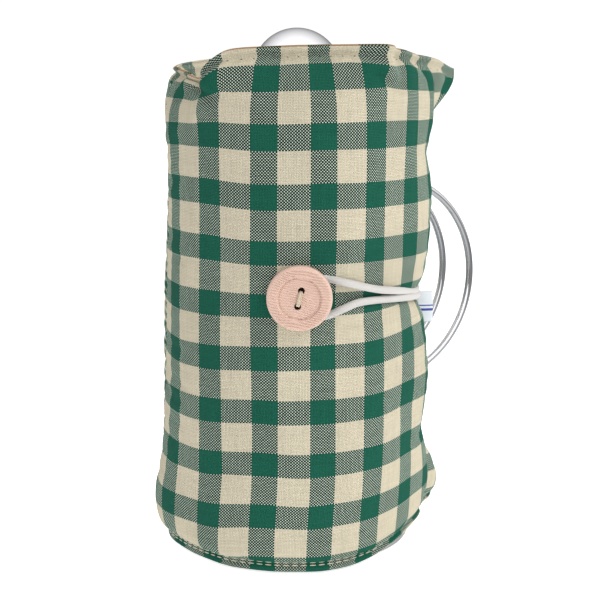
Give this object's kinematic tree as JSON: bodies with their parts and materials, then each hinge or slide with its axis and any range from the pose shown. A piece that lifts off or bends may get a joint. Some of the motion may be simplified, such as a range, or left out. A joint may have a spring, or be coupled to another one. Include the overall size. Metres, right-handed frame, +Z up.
{
  "type": "insulated coffee press with cosy",
  "caption": "Double-walled vacuum-insulated plunger flask with twin-rod handle and ball knob, inside a padded gingham cosy closed by a button and elastic loop.",
  "frame": {"origin": "centre of the underside of the foot pad, on the rest plane", "axes": "+Z up along the flask's axis, +X towards the handle"},
  "size_m": [0.1378, 0.113, 0.213],
  "materials": {
    "steel": "drawn stainless steel, satin",
    "polished_steel": "polished stainless steel",
    "steel_mesh": "fine woven steel mesh",
    "spring_steel": "bright spring wire",
    "getter": "grey pressed pellet",
    "brass": "turned brass",
    "silicone": "matt silicone",
    "bush_plastic": "black moulded plastic",
    "gingham": "green and cream woven gingham cotton",
    "wadding": "white quilt wadding",
    "lining": "plain cream cotton",
    "button": "peach coloured, satin, engraved grain",
    "thread": "beige cotton thread",
    "elastic": "off-white braided elastic cord",
    "label": "white woven tape with plain blue bars"
  },
  "bodies": {
    "flask": {"foot_pad": "silicone", "base_cap": "steel", "outer_shell": "steel", "inner_flask": "steel", "getter_pellet": "getter", "handle_rod_front": "polished_steel", "handle_rod_back": "polished_steel", "handle_plate_upper": "polished_steel", "handle_plate_lower": "polished_steel"},
    "lid_seal": {"lid_gasket": "silicone"},
    "lid": {"lid_skirt": "steel", "lid_dome": "polished_steel", "rod_bush": "bush_plastic"},
    "plunger": {"plunger_rod": "polished_steel", "spiral_plate": "steel", "mesh_filter": "steel_mesh", "cross_plate": "steel", "edge_spring": "spring_steel"},
    "filter_nut": {"filter_nut": "steel"},
    "knob": {"knob_collar": "bush_plastic", "knob_ball": "polished_steel", "knob_insert": "brass"},
    "cosy_spine": {"spine_lining": "lining", "spine_wadding": "wadding", "spine_cover": "gingham"},
    "cosy_front": {"front_lining": "lining", "front_wadding": "wadding", "front_cover": "gingham"},
    "cosy_back": {"back_lining": "lining", "back_wadding": "wadding", "back_cover": "gingham"},
    "button": {"button": "button", "button_thread": "thread"},
    "loop": {"elastic_loop": "elastic"},
    "care_label": {"care_label": "label"}
  },
  "joints": [
    {"name": "lid_lift", "type": "slide", "parent": "flask", "child": "lid_seal", "axis": [0, 0, 1], "range_m": [0, 0.21]},
    {"name": "lid_turn", "type": "hinge", "parent": "lid_seal", "child": "lid", "pos_m": [0, 0, 0.175], "axis": [0, 0, 1], "continuous": true},
    {"name": "plunge", "type": "slide", "parent": "lid", "child": "plunger", "axis": [0, 0, 1], "range_m": [0, 0.125]},
    {"name": "filter_nut_turn", "type": "hinge", "parent": "plunger", "child": "filter_nut", "pos_m": [0, 0, 0.0127], "axis": [0, 0, 1], "continuous": true},
    {"name": "knob_turn", "type": "hinge", "parent": "plunger", "child": "knob", "pos_m": [0, 0, 0.195], "axis": [0, 0, 1], "continuous": true},
    {"name": "cosy_lift", "type": "slide", "parent": "flask", "child": "cosy_spine", "axis": [0, 0, 1], "range_m": [0, 0.22]},
    {"name": "front_flap_open", "type": "hinge", "parent": "cosy_spine", "child": "cosy_front", "pos_m": [-0.04677, -0.027, 0.1], "axis": [0, 0, -1], "range_deg": [0, 70]},
    {"name": "back_flap_open", "type": "hinge", "parent": "cosy_spine", "child": "cosy_back", "pos_m": [-0.04677, 0.027, 0.1], "axis": [0, 0, 1], "range_deg": [0, 70]},
    {"name": "loop_swing", "type": "hinge", "parent": "cosy_back", "child": "loop", "pos_m": [0.05248, 0.01807, 0.106], "axis": [0, 0, 1], "range_deg": [0, 42], "deforming": ["elastic_loop"]},
    {"name": "button_turn", "type": "hinge", "parent": "cosy_front", "child": "button", "pos_m": [-0.02772, -0.04981, 0.113], "axis": [-0.4863, -0.8738, 0], "range_deg": [-20, 20]},
    {"name": "label_flip", "type": "hinge", "parent": "cosy_front", "child": "care_label", "pos_m": [0.05136, -0.01699, 0.095], "axis": [0, 0, 1], "range_deg": [-40, 5]}
  ],
  "couplings": [
    {"joint": "back_flap_open", "follows": "front_flap_open", "ratio": 1},
    {"joint": "loop_swing", "follows": "front_flap_open", "ratio": 0.6}
  ]
}
